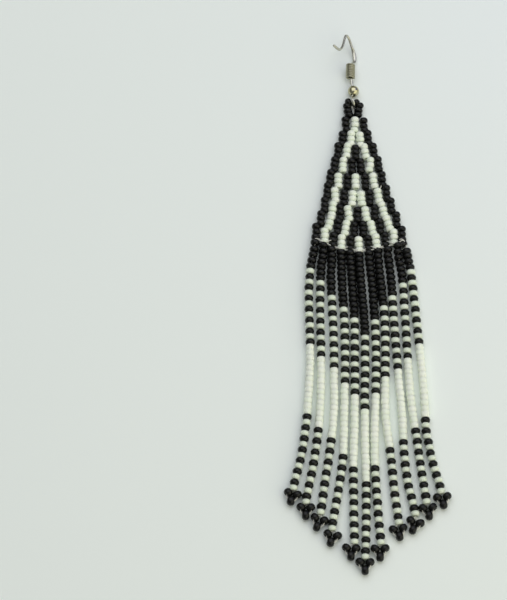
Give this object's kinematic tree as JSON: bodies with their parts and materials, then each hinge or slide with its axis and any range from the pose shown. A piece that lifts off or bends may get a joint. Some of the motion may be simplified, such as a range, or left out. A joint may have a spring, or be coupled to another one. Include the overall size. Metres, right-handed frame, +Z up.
{
  "type": "beaded earring",
  "caption": "Long seed-bead fringe earring on a wire ear hook, with a brick-stitched fan in black and white chevrons and a three-bead picot at the end of each strand.",
  "frame": {"origin": "on the surface it lies on, under the middle of its outline", "axes": "+X across the fringe to the right, +Y from the picots to the ear hook, +Z up from the surface, with the earring face up"},
  "size_m": [0.0406, 0.1451, 0.0077],
  "materials": {
    "hook_wire": "nickel-plated wire, dull and a little yellow",
    "ball_metal": "polished plated ball, pale gold in the light",
    "black_bead": "opaque black glass seed beads, half gloss",
    "white_bead": "opaque chalk-white glass seed beads, half gloss"
  },
  "bodies": {
    "root": {"ear_hook": "hook_wire", "ball": "ball_metal", "coil": "hook_wire", "beaded_panel": "black_bead", "strand_01": "white_bead", "strand_02": "white_bead", "strand_03": "white_bead", "strand_04": "white_bead", "strand_05": "white_bead", "strand_06": "white_bead", "strand_07": "white_bead", "strand_08": "white_bead", "strand_09": "white_bead", "strand_10": "white_bead", "strand_11": "white_bead", "picot_01": "black_bead", "picot_02": "black_bead", "picot_03": "black_bead", "picot_04": "black_bead", "picot_05": "black_bead", "picot_06": "black_bead", "picot_07": "black_bead", "picot_08": "black_bead", "picot_09": "black_bead", "picot_10": "black_bead", "picot_11": "black_bead"}
  },
  "joints": []
}
